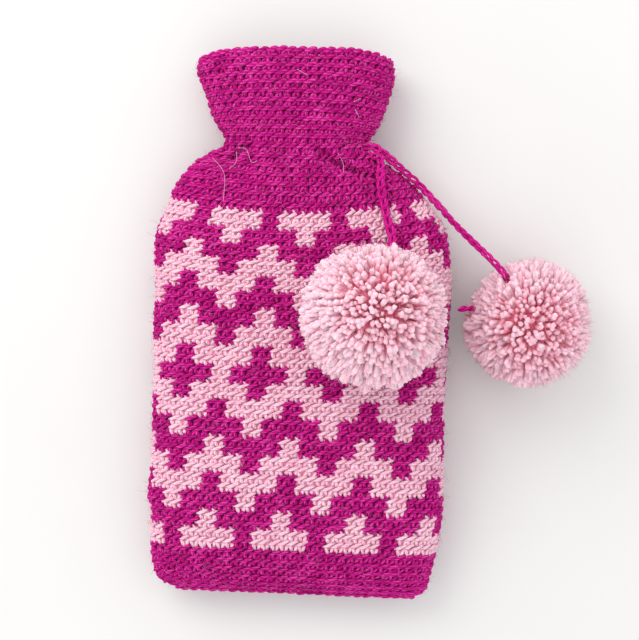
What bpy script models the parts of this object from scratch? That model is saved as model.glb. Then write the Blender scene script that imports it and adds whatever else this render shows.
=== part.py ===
"""Crocheted hot water bottle cover with a drawstring neck and two pompoms, lying on its back.

Metres, +Z up, +Y from the closed base to the open collar, +X to the right of the front.
The origin is under the middle of the cover's own box, on the surface that it lies on.
The tables are in millimetres and are turned to metres where a mesh is made.
"""

import math
import random
from collections import namedtuple

import bpy
import numpy as np
from mathutils import Vector

MM = 0.001
UP = (0.0, 0.0, 1.0)

# Cloth and cord
WALL = 4.5
CORD_DIAMETER = 4.6
TOUCH_GAP = 0.35

# The cover's grid of corners
COLUMNS = 52
OUTLINE_STEPS = 720
MIDDLE_HEIGHT = 0.47
BASE_ROWS = 7.0
SHOULDER_ROW = 45.0

# The eyelet between the stitches at the right of the neck, where both ties come out
EYELET_ROWS = (49.4, 51.5)
EYELET_COLUMNS = (9, 11)

# One line for each cross-section, counted in crochet rows from the base seam: the y of its middle,
# how far it falls for each mm to the right, how far its sides droop below its middle, its left and
# right edges, its lowest and highest points, and how square it is (2 is an oval).
Section = namedtuple("Section", "row y fall droop left right under over square")
SECTIONS = [
    Section(0.0, -170.4, 0.042, 0.0, -79.0, 72.5, 20.5, 25.5, 3.2),
    Section(1.0, -167.4, 0.042, 0.0, -86.8, 78.4, 17.0, 28.8, 3.2),
    Section(2.0, -163.7, 0.042, 0.0, -91.2, 81.0, 12.4, 32.6, 3.2),
    Section(3.0, -159.2, 0.042, 0.0, -93.4, 82.4, 8.0, 36.0, 3.2),
    Section(4.0, -154.0, 0.043, 0.0, -94.6, 83.6, 4.6, 38.6, 3.2),
    Section(5.0, -148.6, 0.044, 0.0, -95.2, 84.9, 2.0, 40.8, 3.2),
    Section(6.0, -142.7, 0.045, 0.0, -95.4, 86.5, 0.2, 42.2, 3.2),
    Section(7.0, -136.0, 0.045, 0.0, -95.5, 87.9, -1.0, 43.2, 3.2),
    Section(9.5, -121.8, 0.043, 0.0, -95.9, 90.2, -1.5, 45.6, 3.2),
    Section(11.5, -109.7, 0.041, 0.0, -97.0, 91.1, -1.5, 47.2, 3.2),
    Section(13.5, -97.6, 0.038, 0.0, -95.6, 91.4, -1.5, 48.6, 3.2),
    Section(17.5, -75.0, 0.034, -0.5, -94.3, 91.4, -1.5, 50.5, 3.2),
    Section(21.5, -51.4, 0.030, -1.0, -93.6, 91.8, -1.5, 51.6, 3.2),
    Section(25.5, -30.8, 0.025, -2.0, -92.8, 92.8, -1.5, 52.2, 3.2),
    Section(29.5, -6.7, 0.019, -3.5, -93.4, 94.6, -1.5, 52.2, 3.2),
    Section(33.5, 15.7, 0.013, -6.0, -91.8, 96.2, -1.5, 51.7, 3.2),
    Section(37.5, 35.4, 0.006, -8.2, -93.1, 95.4, -1.5, 50.6, 3.2),
    Section(41.5, 55.0, 0.000, -10.2, -89.6, 90.8, -1.2, 48.9, 3.1),
    Section(43.5, 64.8, 0.001, -10.8, -84.6, 83.4, -0.4, 47.5, 3.0),
    Section(45.0, 74.6, 0.008, -9.8, -81.4, 77.4, 0.4, 46.4, 2.9),
    Section(46.0, 81.6, 0.014, -8.2, -78.6, 73.2, 1.0, 45.7, 2.8),
    Section(47.0, 87.8, 0.020, -6.4, -75.4, 69.0, 1.7, 44.9, 2.7),
    Section(48.0, 93.8, 0.028, -4.8, -71.0, 64.2, 2.5, 44.1, 2.6),
    Section(49.0, 99.3, 0.036, -3.8, -66.0, 57.4, 3.3, 43.3, 2.5),
    Section(50.0, 105.1, 0.036, -3.6, -57.0, 48.8, 4.1, 42.6, 2.4),
    Section(51.0, 112.0, 0.024, -2.6, -48.4, 42.8, 4.5, 42.2, 2.4),
    Section(52.0, 118.3, 0.028, -1.2, -48.8, 44.6, 4.3, 42.4, 2.4),
    Section(53.0, 123.7, 0.030, 0.0, -51.6, 47.8, 3.8, 42.9, 2.4),
    Section(55.0, 134.8, 0.032, 1.6, -56.8, 52.6, 2.8, 44.2, 2.4),
    Section(57.0, 146.1, 0.032, 2.6, -59.8, 56.4, 1.9, 45.4, 2.4),
    Section(59.0, 157.2, 0.030, 3.2, -63.6, 59.6, 1.1, 46.2, 2.4),
    Section(60.5, 164.7, 0.029, 3.5, -65.8, 60.6, 0.7, 46.6, 2.4),
    Section(62.0, 171.9, 0.028, 3.6, -64.6, 59.4, 0.4, 46.8, 2.4),
]
SECTION_ROWS = np.array([section.row for section in SECTIONS])
SECTION_VALUES = np.array(SECTIONS).T

# Gathers and soft dents: the row and the place round the cover (a fraction of the way round from
# the middle of the front, towards +X) of each one's middle, how far it reaches in rows and in that
# fraction, its depth, and how much its place moves round for each row up.
Fold = namedtuple("Fold", "name row place rows width depth lean")
FOLDS = [
    Fold("pinch left of the neck", 50.1, 0.795, 1.9, 0.040, 5.0, 0.004),
    Fold("soft fold by the pinch", 49.6, 0.880, 2.4, 0.034, 1.8, -0.006),
    Fold("slanting fold under the cord", 49.2, 0.105, 2.9, 0.034, 3.2, -0.030),
    Fold("dent over the eyelet", 52.8, 0.195, 2.0, 0.030, 2.0, 0.0),
    Fold("back gather 1", 51.2, 0.300, 5.0, 0.026, 3.6, 0.002),
    Fold("back gather 2", 51.0, 0.358, 4.2, 0.024, 4.2, 0.002),
    Fold("back gather 3", 51.3, 0.416, 5.4, 0.026, 3.8, 0.001),
    Fold("back gather 4", 50.9, 0.476, 4.6, 0.024, 4.4, 0.0),
    Fold("back gather 5", 51.2, 0.536, 5.2, 0.026, 3.8, -0.001),
    Fold("back gather 6", 51.0, 0.596, 4.4, 0.024, 4.4, -0.002),
    Fold("back gather 7", 51.2, 0.656, 5.0, 0.026, 3.8, -0.002),
    Fold("back gather 8", 51.0, 0.716, 4.0, 0.024, 4.0, -0.002),
    Fold("collar dent on the left", 59.6, 0.815, 1.7, 0.034, 3.0, 0.0),
    Fold("collar dent on the right", 57.8, 0.190, 1.8, 0.032, 2.4, 0.0),
    Fold("hollow on the front's left", 24.0, 0.895, 9.0, 0.075, 1.2, 0.0),
    Fold("hollow on the front's right", 14.0, 0.120, 7.0, 0.060, 1.0, 0.0),
]

# Rows at which the outer skin has a ring of corners. The inner skin leaves some out, where the
# wall is nearly straight.
OUTER_RINGS = [0.0, 0.9, 2.0, 3.1, 4.3, 5.6, 7.0, 9.5, 11.8, 14.2, 17.0, 20.0, 23.0, 26.0, 29.0]
OUTER_RINGS += [32.0, 35.0, 37.5, 39.7, 41.7, 43.4, 44.9, 46.2, 47.3, 48.3, 49.4, 50.5, 51.5]
OUTER_RINGS += [52.4, 53.4, 54.6, 55.9, 57.2, 58.5, 59.7, 60.9, 62.0]
OUTER_ONLY_RINGS = [0.0, 0.9, 9.5, 14.2, 20.0, 26.0, 32.0, 37.5, 41.7, 54.6, 57.2, 59.7]

# The ties' routes: the middle of the cord, from the eyelet
LONG_ROUTE = [
    (38.7, 113.0, 28.6),
    (43.3, 113.2, 30.0),
    (48.2, 112.3, 30.2),
    (53.0, 108.6, 30.5),
    (58.2, 103.9, 31.0),
    (64.4, 98.3, 31.9),
    (70.6, 92.8, 32.5),
    (76.8, 86.9, 33.0),
    (83.0, 80.5, 33.5),
    (89.4, 73.6, 34.2),
    (95.8, 66.2, 35.8),
    (102.0, 59.2, 38.0),
    (108.2, 52.4, 40.8),
    (113.8, 46.3, 43.9),
    (118.6, 40.8, 47.2),
    (122.8, 35.9, 50.2),
]
SHORT_ROUTE = [
    (38.6, 107.4, 28.2),
    (43.2, 107.4, 29.6),
    (47.8, 106.8, 31.9),
    (50.5, 104.7, 36.0),
    (51.0, 100.4, 39.5),
    (50.4, 94.3, 42.6),
    (50.8, 84.6, 45.7),
    (53.2, 71.2, 48.1),
    (55.3, 61.2, 50.0),
    (57.2, 52.4, 53.4),
]
CORD_STEP = 9.2
CORD_BEVEL_RESOLUTION = 2
ROUTE_PARTS = 12

# The drawstring's stretch round the inside of the neck, and how its ends turn into the eyelet
NECK_CORD_ROW = 51.9
NECK_CORD_ROOM = 0.8
NECK_CORD_LEAVES = (0.140, 0.080)
NECK_CORD_PLACES = 24
NECK_CORD_STEP = 5.5
NECK_END_LONG = [(38.0, 113.0, 28.4), (33.0, 112.8, 26.8), (29.2, 113.4, 24.4), (26.0, 115.4, 20.6)]
NECK_END_SHORT = [(28.0, 110.6, 26.7), (33.0, 107.6, 26.4), (38.1, 107.4, 28.0)]

# Pompoms: the way that the cord goes in, and the side towards which the ball's cells are turned.
# The small one's side is where the cord's tail comes out.
Pompom = namedtuple("Pompom", "name centre radius cord_way side_way seed")
POMPOM_BIG = Pompom("pompom_big", (44.0, 5.6, 86.0), 43.4, (0.25, 0.80, -0.55), UP, 11)
POMPOM_SMALL = Pompom(
    "pompom_small", (142.5, 1.9, 36.6), 39.8, (-0.43, 0.79, 0.44), (-0.96, 0.24, 0.07), 23
)
LOCKS_ACROSS = 5
CORE_RADIUS = 15.0
LOCK_SHOULDER = 0.85
LOCK_SHOULDER_FILL = 0.86
LOCK_TIP_FILL = 0.52
LOCK_LEAN = 0.05
LOCK_LENGTHS = (0.955, 1.0)
SHOULDER_LIFT = 3.0
COVER_CLEARANCE = 1.0
RAY_HEIGHT = 200.0

# Where a cord meets the wound core: a short stub in place of a lock
STUB_RADIUS = 20.0
STUB_FILL = 0.9
STUB_ALIGNMENT = 0.995
CORD_WAY_IN = (16.0, 8.0, 0.0)
CELL_ANGLE = math.radians(90.0 / LOCKS_ACROSS)
TAIL_CELLS = 3
TAIL_LENGTH = 24.0
TAIL_PARTS = 3

MAGENTA_YARN = (0.55, 0.004, 0.20, 1.0)
PINK_YARN = (0.80, 0.36, 0.42, 1.0)
YARN_ROUGHNESS = 0.9
CORD_ROUGHNESS = 0.85


def clear_scene():
    for thing in list(bpy.data.objects):
        bpy.data.objects.remove(thing, do_unlink=True)


def yarn_material(name, colour, roughness):
    material = bpy.data.materials.new(name)
    material.use_nodes = True
    shader = material.node_tree.nodes["Principled BSDF"]
    shader.inputs["Base Color"].default_value = colour
    shader.inputs["Roughness"].default_value = roughness
    shader.inputs["Metallic"].default_value = 0.0
    return material


def mesh_object(name, points, faces, material, smooth):
    mesh = bpy.data.meshes.new(name)
    mesh.from_pydata([Vector(point) * MM for point in points], [], faces)
    mesh.materials.append(material)
    if smooth:
        mesh.shade_smooth()
    mesh.update()
    thing = bpy.data.objects.new(name, mesh)
    bpy.context.scene.collection.objects.link(thing)
    return thing


def distance_along(points):
    steps = np.linalg.norm(np.diff(points, axis=0), axis=1)
    return np.concatenate([[0.0], np.cumsum(steps)])


# The cover


def smooth_between(rows, values, row):
    """The value at a row, on a smooth curve through the table's values."""
    slopes = np.gradient(values, rows)
    cell = int(np.clip(np.searchsorted(rows, row, side="right") - 1, 0, len(rows) - 2))
    span = rows[cell + 1] - rows[cell]
    t = (row - rows[cell]) / span
    start = (1 + 2 * t) * (1 - t) ** 2 * values[cell] + t * (1 - t) ** 2 * span * slopes[cell]
    end = t * t * (3 - 2 * t) * values[cell + 1] + t * t * (t - 1) * span * slopes[cell + 1]
    return start + end


def section_at(row):
    return Section(*[smooth_between(SECTION_ROWS, values, row) for values in SECTION_VALUES])


def bump(offset, reach):
    """1 in the middle, falling smoothly to 0 at the reach."""
    return np.cos(np.pi / 2 * np.clip(np.abs(offset) / reach, 0.0, 1.0)) ** 2


def fold_depths(row, places):
    depths = np.zeros_like(places)
    for fold in FOLDS:
        middle = fold.place + fold.lean * (row - fold.row)
        offset = (places - middle + 0.5) % 1.0 - 0.5
        depths += fold.depth * bump(row - fold.row, fold.rows) * bump(offset, fold.width)
    return depths


def section_outline(row, inset):
    """Places from 0 to 1 round a section, its points (x, z) and their outward directions."""
    cut = section_at(row)
    # From the middle of the front, over the right side to the back
    turn = np.pi / 2 - 2 * np.pi * np.arange(OUTLINE_STEPS + 1) / OUTLINE_STEPS
    across = np.sign(np.cos(turn)) * np.abs(np.cos(turn)) ** (2 / cut.square)
    up = np.sign(np.sin(turn)) * np.abs(np.sin(turn)) ** (2 / cut.square)
    right = cut.right - inset
    left = cut.left + inset
    over = cut.over - inset
    under = cut.under + inset
    middle = under + MIDDLE_HEIGHT * (over - under)
    x = np.where(across > 0, across * right, -across * left)
    z = middle + np.where(up > 0, up * (over - middle), up * (middle - under))
    points = np.stack([x, z], axis=1)
    along = distance_along(points)
    even = np.linspace(0.0, along[-1], OUTLINE_STEPS + 1)
    points = np.stack([np.interp(even, along, points[:, i]) for i in (0, 1)], axis=1)
    ways = np.roll(points[:-1], -1, axis=0) - np.roll(points[:-1], 1, axis=0)
    outward = np.stack([-ways[:, 1], ways[:, 0]], axis=1)
    outward /= np.linalg.norm(outward, axis=1)[:, None]
    outward = np.vstack([outward, outward[:1]])
    return even / even[-1], points, outward


def folded_outline(row):
    places, points, outward = section_outline(row, 0.0)
    return places, points - outward * fold_depths(row, places)[:, None]


def column_places(row):
    """The place of each column, spaced evenly along the cloth, in and out of its folds."""
    places, points = folded_outline(row)
    along = distance_along(points)
    return np.interp(np.linspace(0.0, along[-1], COLUMNS + 1)[:-1], along, places)


def row_y(row, x):
    cut = section_at(row)
    half = np.where(x > 0, cut.right, -cut.left)
    return cut.y - cut.fall * x - cut.droop * (x / half) ** 2


def outer_ring(row):
    places, points = folded_outline(row)
    where = column_places(row)
    x = np.interp(where, places, points[:, 0])
    z = np.maximum(np.interp(where, places, points[:, 1]), 0.0)
    return np.stack([x, row_y(row, x), z], axis=1)


def inner_inset(row):
    """The wall's thickness, and the gathers' depth where the cloth is drawn in."""
    deepest = max(fold.depth * float(bump(row - fold.row, fold.rows)) for fold in FOLDS)
    return WALL + deepest * (row > SHOULDER_ROW)


def inner_ring(row):
    places, points, _ = section_outline(row, inner_inset(row))
    where = column_places(row)
    x = np.interp(where, places, points[:, 0])
    z = np.maximum(np.interp(where, places, points[:, 1]), WALL)
    base_lift = WALL * max(0.0, 1.0 - row / BASE_ROWS)
    return np.stack([x, row_y(row, x) + base_lift, z], axis=1)


def in_eyelet(low, high, column):
    rows_inside = EYELET_ROWS[0] <= low and high <= EYELET_ROWS[1]
    return rows_inside and EYELET_COLUMNS[0] <= column < EYELET_COLUMNS[1]


def skin_points(rings, ring_at, points):
    """Adds a skin's corners to the points, and gives each corner's number by row and column."""
    numbers = {}
    for row in rings:
        for column, point in enumerate(ring_at(row)):
            in_rows = EYELET_ROWS[0] < row < EYELET_ROWS[1]
            if in_rows and EYELET_COLUMNS[0] < column < EYELET_COLUMNS[1]:
                continue
            numbers[row, column] = len(points)
            points.append(tuple(point))
    return numbers


def skin_faces(rings, numbers):
    faces = []
    for low, high in zip(rings, rings[1:]):
        for column in range(COLUMNS):
            if in_eyelet(low, high, column):
                continue
            after = (column + 1) % COLUMNS
            corners = [(low, column), (low, after), (high, after), (high, column)]
            faces.append([numbers[corner] for corner in corners])
    return faces


def edge_faces(outer_faces, outer_numbers, inner_numbers):
    """The mouth's rim and the eyelet's walls: each open edge of the outer skin joins the inner."""
    corner_of = {number: corner for corner, number in outer_numbers.items()}
    edges = {(face[i], face[(i + 1) % len(face)]) for face in outer_faces for i in range(len(face))}
    faces = []
    for a, b in sorted(edges):
        at_base = corner_of[a][0] == OUTER_RINGS[0] and corner_of[b][0] == OUTER_RINGS[0]
        if (b, a) in edges or at_base:
            continue
        faces.append([b, a, inner_numbers[corner_of[a]], inner_numbers[corner_of[b]]])
    return faces


def cap_faces(first):
    """Closes a flattened ring: front columns are joined to the back columns under them."""
    quarter = COLUMNS // 4
    half = COLUMNS // 2
    faces = []
    for k in range(-quarter, quarter):
        corners = [half - k, half - k - 1, k + 1, k]
        face = [first + corner % COLUMNS for corner in corners]
        faces.append(list(dict.fromkeys(face)))
    return faces


def build_cover(material):
    """One bag: an outer and an inner skin that meet at the mouth and round the eyelet."""
    inner_rings = [row for row in OUTER_RINGS if row not in OUTER_ONLY_RINGS]
    points = []
    outer_numbers = skin_points(OUTER_RINGS, outer_ring, points)
    inner_numbers = skin_points(inner_rings, inner_ring, points)
    outer = skin_faces(OUTER_RINGS, outer_numbers) + cap_faces(outer_numbers[OUTER_RINGS[0], 0])
    inner = skin_faces(inner_rings, inner_numbers) + cap_faces(inner_numbers[inner_rings[0], 0])
    edges = edge_faces(outer, outer_numbers, inner_numbers)
    faces = outer + [face[::-1] for face in inner] + edges
    return mesh_object("cover", points, faces, material, smooth=True)


# The cord


def smooth_route(points, step):
    """Points about a step apart on a smooth curve through the route's points."""
    route = np.array(points, dtype=float)
    before = 2 * route[0] - route[1]
    after = 2 * route[-1] - route[-2]
    guide = np.vstack([before, route, after])
    fine = []
    for i in range(1, len(guide) - 2):
        p0, p1, p2, p3 = guide[i - 1 : i + 3]
        for t in np.linspace(0.0, 1.0, ROUTE_PARTS, endpoint=False):
            bend = 2 * p0 - 5 * p1 + 4 * p2 - p3
            twist = 3 * p1 - p0 - 3 * p2 + p3
            fine.append(p1 + 0.5 * (t * (p2 - p0) + t * t * bend + t**3 * twist))
    fine = np.array(fine + [route[-1]])
    along = distance_along(fine)
    count = max(2, round(along[-1] / step) + 1)
    even = np.linspace(0.0, along[-1], count)
    return np.stack([np.interp(even, along, fine[:, i]) for i in range(3)], axis=1)


def build_cord(name, points, material):
    curve = bpy.data.curves.new(name, "CURVE")
    curve.dimensions = "3D"
    curve.bevel_depth = CORD_DIAMETER / 2 * MM
    curve.bevel_resolution = CORD_BEVEL_RESOLUTION
    curve.use_fill_caps = True
    spline = curve.splines.new("POLY")
    spline.points.add(len(points) - 1)
    for target, point in zip(spline.points, points):
        target.co = (*(Vector(point) * MM), 1.0)
    spline.use_smooth = True
    curve.materials.append(material)
    thing = bpy.data.objects.new(name, curve)
    bpy.context.scene.collection.objects.link(thing)


def neck_route():
    """The drawstring's hidden stretch: from the eyelet, round the inside of the neck and back."""
    inset = inner_inset(NECK_CORD_ROW) + CORD_DIAMETER / 2 + NECK_CORD_ROOM
    places, points, _ = section_outline(NECK_CORD_ROW, inset)
    eyelet_column = sum(EYELET_COLUMNS) / 2
    eyelet = np.interp(eyelet_column, np.arange(COLUMNS), column_places(NECK_CORD_ROW))
    leaves, comes_back = NECK_CORD_LEAVES
    where = (eyelet + np.linspace(leaves, 1.0 - comes_back, NECK_CORD_PLACES)) % 1.0
    x = np.interp(where, places, points[:, 0])
    z = np.interp(where, places, points[:, 1])
    ring = np.stack([x, row_y(NECK_CORD_ROW, x), z], axis=1)
    return smooth_route([*NECK_END_LONG, *ring, *NECK_END_SHORT], NECK_CORD_STEP)


def stub_point(pompom, way, beyond=0.0):
    """Where a cord meets the stub on the pompom's core, or a point beyond it on its way out."""
    reach = STUB_RADIUS + TOUCH_GAP + beyond
    return Vector(pompom.centre) + Vector(way).normalized() * reach


def tie_route(route, pompom):
    """A tie's route from the eyelet, and its straight way in between the pompom's locks."""
    ends = [tuple(stub_point(pompom, pompom.cord_way, beyond)) for beyond in CORD_WAY_IN]
    return smooth_route(route + ends, CORD_STEP)


def tail_direction():
    """Out of the small pompom on its left, a few cells round from the tie's own."""
    tie = Vector(POMPOM_SMALL.cord_way).normalized()
    side = Vector(POMPOM_SMALL.side_way)
    side = (side - tie * tie.dot(side)).normalized()
    angle = TAIL_CELLS * CELL_ANGLE
    return tie * math.cos(angle) + side * math.sin(angle)


def tail_route():
    way = tail_direction()
    start = stub_point(POMPOM_SMALL, way)
    return [start + way * (TAIL_LENGTH * part / TAIL_PARTS) for part in range(TAIL_PARTS + 1)]


# The pompoms


def ball_cells():
    """Directions at the corners of a ball's four-sided cells, and each cell's corner numbers."""
    numbers = {}
    ways = []
    cells = []

    def number(corner):
        if corner not in numbers:
            numbers[corner] = len(ways)
            turns = [(2 * value / LOCKS_ACROSS - 1) * math.pi / 4 for value in corner]
            ways.append(Vector([math.tan(turn) for turn in turns]).normalized())
        return numbers[corner]

    for axis in range(3):
        first, second = (axis + 1) % 3, (axis + 2) % 3
        for end in (0, LOCKS_ACROSS):
            for i in range(LOCKS_ACROSS):
                for j in range(LOCKS_ACROSS):
                    square = [(i, j), (i + 1, j), (i + 1, j + 1), (i, j + 1)]
                    if end == 0:
                        square.reverse()
                    cell = []
                    for a, b in square:
                        corner = [0, 0, 0]
                        corner[axis] = end
                        corner[first] = a
                        corner[second] = b
                        cell.append(number(tuple(corner)))
                    cells.append(cell)
    return ways, cells


def turned_towards(ways, aim, side):
    """Turns the ball's +X cell to the aim, and its +Y side towards the given side."""
    x = Vector(aim).normalized()
    z = x.cross(Vector(side)).normalized()
    y = z.cross(x)
    return [way.x * x + way.y * y + way.z * z for way in ways]


def surface_height(_point):
    return 0.0


def height_over(cover):
    """The height that clears the cover's front at a point."""

    def height(point):
        start = Vector((point.x, point.y, RAY_HEIGHT)) * MM
        hit, place, _, _ = cover.ray_cast(start, -Vector(UP))
        return place.z / MM + COVER_CLEARANCE if hit else 0.0

    return height


def build_pompom(pompom, cord_ways, height, material):
    """A wound core with four-sided locks of yarn standing out of it, shorter where it rests."""
    rng = random.Random(pompom.seed)
    centre = Vector(pompom.centre)
    ways, cells = ball_cells()
    ways = turned_towards(ways, pompom.cord_way, pompom.side_way)

    def resting(point, lift):
        """Draws a point in towards the core where it would go below what the pompom lies on."""
        floor = height(point) + lift
        if point.z >= floor or point.z >= centre.z:
            return point
        keep = (centre.z - floor) / (centre.z - point.z)
        return centre + (point - centre) * keep

    points = [tuple(centre + way * CORE_RADIUS) for way in ways]
    faces = []
    for cell in cells:
        middle = sum((ways[number] for number in cell), Vector()).normalized()
        leaning = Vector([rng.uniform(-1, 1) for _ in range(3)]) * LOCK_LEAN
        length = pompom.radius * rng.uniform(*LOCK_LENGTHS)
        rings = [
            (length * LOCK_SHOULDER, LOCK_SHOULDER_FILL, 0.0, SHOULDER_LIFT),
            (length, LOCK_TIP_FILL, 1.0, 0.0),
        ]
        if any(middle.dot(Vector(way).normalized()) > STUB_ALIGNMENT for way in cord_ways):
            rings = [(STUB_RADIUS, STUB_FILL, 0.0, 0.0)]
        below = list(cell)
        for radius, fill, lean, lift in rings:
            first = len(points)
            for number in cell:
                way = middle.lerp(ways[number], fill) + leaning * lean
                points.append(tuple(resting(centre + way.normalized() * radius, lift)))
            ring = list(range(first, first + len(cell)))
            for i in range(len(cell)):
                j = (i + 1) % len(cell)
                faces.append([below[i], below[j], ring[j], ring[i]])
            below = ring
        faces.append(below)
    mesh_object(pompom.name, points, faces, material, smooth=False)


def build():
    clear_scene()
    magenta = yarn_material("magenta_wool", MAGENTA_YARN, YARN_ROUGHNESS)
    pink = yarn_material("pink_wool", PINK_YARN, YARN_ROUGHNESS)
    cord_wool = yarn_material("magenta_cord", MAGENTA_YARN, CORD_ROUGHNESS)
    cover = build_cover(magenta)
    build_cord("neck_drawstring", neck_route(), cord_wool)
    build_cord("tie_long", tie_route(LONG_ROUTE, POMPOM_SMALL), cord_wool)
    build_cord("tie_short", tie_route(SHORT_ROUTE, POMPOM_BIG), cord_wool)
    build_cord("tie_tail", tail_route(), cord_wool)
    ways_into_small = [POMPOM_SMALL.cord_way, tail_direction()]
    build_pompom(POMPOM_SMALL, ways_into_small, surface_height, pink)
    build_pompom(POMPOM_BIG, [POMPOM_BIG.cord_way], height_over(cover), pink)


build()
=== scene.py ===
import math
from collections import namedtuple

import bpy
import numpy as np
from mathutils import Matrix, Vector
from mathutils.bvhtree import BVHTree


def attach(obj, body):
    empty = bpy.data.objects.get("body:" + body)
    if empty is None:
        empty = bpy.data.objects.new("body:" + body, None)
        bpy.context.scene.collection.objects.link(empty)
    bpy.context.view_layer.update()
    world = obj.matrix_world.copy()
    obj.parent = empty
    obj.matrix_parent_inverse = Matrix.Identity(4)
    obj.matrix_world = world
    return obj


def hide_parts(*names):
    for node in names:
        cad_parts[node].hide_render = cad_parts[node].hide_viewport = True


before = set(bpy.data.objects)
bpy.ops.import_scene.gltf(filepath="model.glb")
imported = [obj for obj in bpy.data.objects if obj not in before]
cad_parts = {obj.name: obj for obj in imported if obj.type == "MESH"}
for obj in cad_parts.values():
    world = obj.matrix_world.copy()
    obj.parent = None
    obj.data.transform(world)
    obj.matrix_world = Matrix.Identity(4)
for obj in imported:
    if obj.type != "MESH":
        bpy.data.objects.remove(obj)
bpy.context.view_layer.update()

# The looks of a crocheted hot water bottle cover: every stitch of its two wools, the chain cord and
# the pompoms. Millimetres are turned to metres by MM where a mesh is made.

MM = 0.001
UP = (0.0, 0.0, 1.0)

# The camera looks straight down on the cover, as in the photograph
CAMERA_PLACE = (0.0124, 0.0035, 0.880)
CAMERA_LENS = 75.65
SENSOR = 36.0

# The cord: its routes through the middle, in metres, from the eyelet at the right of the neck
LONG_ROUTE = [
    (0.0387, 0.1130, 0.0286),
    (0.0433, 0.1132, 0.0300),
    (0.0482, 0.1123, 0.0302),
    (0.0530, 0.1086, 0.0305),
    (0.0582, 0.1039, 0.0310),
    (0.0644, 0.0983, 0.0319),
    (0.0706, 0.0928, 0.0325),
    (0.0768, 0.0869, 0.0330),
    (0.0830, 0.0805, 0.0335),
    (0.0894, 0.0736, 0.0342),
    (0.0958, 0.0662, 0.0358),
    (0.1020, 0.0592, 0.0380),
    (0.1082, 0.0524, 0.0408),
    (0.1138, 0.0463, 0.0439),
    (0.1186, 0.0408, 0.0472),
    (0.1228, 0.0359, 0.0502),
]
SHORT_ROUTE = [
    (0.0386, 0.1074, 0.0282),
    (0.0432, 0.1074, 0.0296),
    (0.0478, 0.1068, 0.0319),
    (0.0505, 0.1047, 0.0360),
    (0.0510, 0.1004, 0.0395),
    (0.0504, 0.0943, 0.0426),
    (0.0508, 0.0846, 0.0457),
    (0.0532, 0.0712, 0.0481),
    (0.0553, 0.0612, 0.0500),
    (0.0572, 0.0524, 0.0534),
]
# The drawstring's stretch round the inside of the neck: how far it lies under the outer face, where
# it begins and ends round the neck, and how its ends turn into the eyelet, in millimetres
NECK_CORD_ROW = 51.9
NECK_CORD_INSET = 12.0
NECK_CORD_ROUND = (0.332, 1.112)
NECK_CORD_PLACES = 24
NECK_END_LONG = [(38.0, 113.0, 28.4), (33.0, 112.8, 26.8), (29.2, 113.4, 24.4), (26.0, 115.4, 20.6)]
NECK_END_SHORT = [(28.0, 110.6, 26.7), (33.0, 107.6, 26.4), (38.1, 107.4, 28.0)]

# The tail is the cord's cut end: its way out of the small pompom, where it begins and ends on that
# way, how far it bends aside at its points, how long one turn of its two strands is, how thick each
# strand is and how far it lies from the tail's middle, in millimetres, and how blunt its tip is
TAIL_WAY = (-0.9811, 0.1897, 0.0382)
TAIL_REACH = (13.8, 44.35)
TAIL_BEND = (0.0, 0.2, 0.9, 1.7, 1.6, -0.7)
TAIL_LAY = 11.0
TAIL_STRAND_RADIUS = 1.05
TAIL_STRAND_ASIDE = 0.95
TAIL_TIP = (0.95, 0.7)

# The pompoms, in millimetres. Cords come in on the cord ways, seen from the middle, and the strands
# part at the crown. Loose hairs start above fuzz_from, clear of what the pompom lies on. A dent is
# the part of its reach that a pompom loses on one side, where its cord presses it in.
Pompom = namedtuple(
    "Pompom", "name centre radius cord_ways crown dents fuzz_from strands tufts seed"
)
Dent = namedtuple("Dent", "way depth degrees")
POMPOM_BIG = Pompom(
    name="pompom_big",
    centre=(44.0, 5.6, 86.0),
    radius=43.4,
    cord_ways=[(0.25, 0.80, -0.55)],
    crown=(0.20, 0.30, 0.93),
    dents=[Dent((-0.5, 0.6, -0.6), 0.03, 46.0)],
    fuzz_from=52.0,
    strands=2400,
    tufts=640,
    seed=11,
)
POMPOM_SMALL = Pompom(
    name="pompom_small",
    centre=(142.5, 1.9, 36.6),
    radius=39.8,
    cord_ways=[(-0.43, 0.79, 0.44), TAIL_WAY],
    crown=(0.02, -0.14, 0.99),
    dents=[
        Dent((-0.76, 0.62, 0.15), 0.12, 48.0),
        Dent((-0.965, 0.25, 0.05), 0.15, 21.0),
        Dent((-0.56, 0.82, 0.15), 0.10, 20.0),
    ],
    fuzz_from=4.0,
    strands=1950,
    tufts=540,
    seed=23,
)
# How far from a pompom's middle its tie ends, and how far out from there its last points are
CORE_STUB = 20.35
CORD_WAY_IN = (16.0, 8.0, 0.0)

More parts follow.
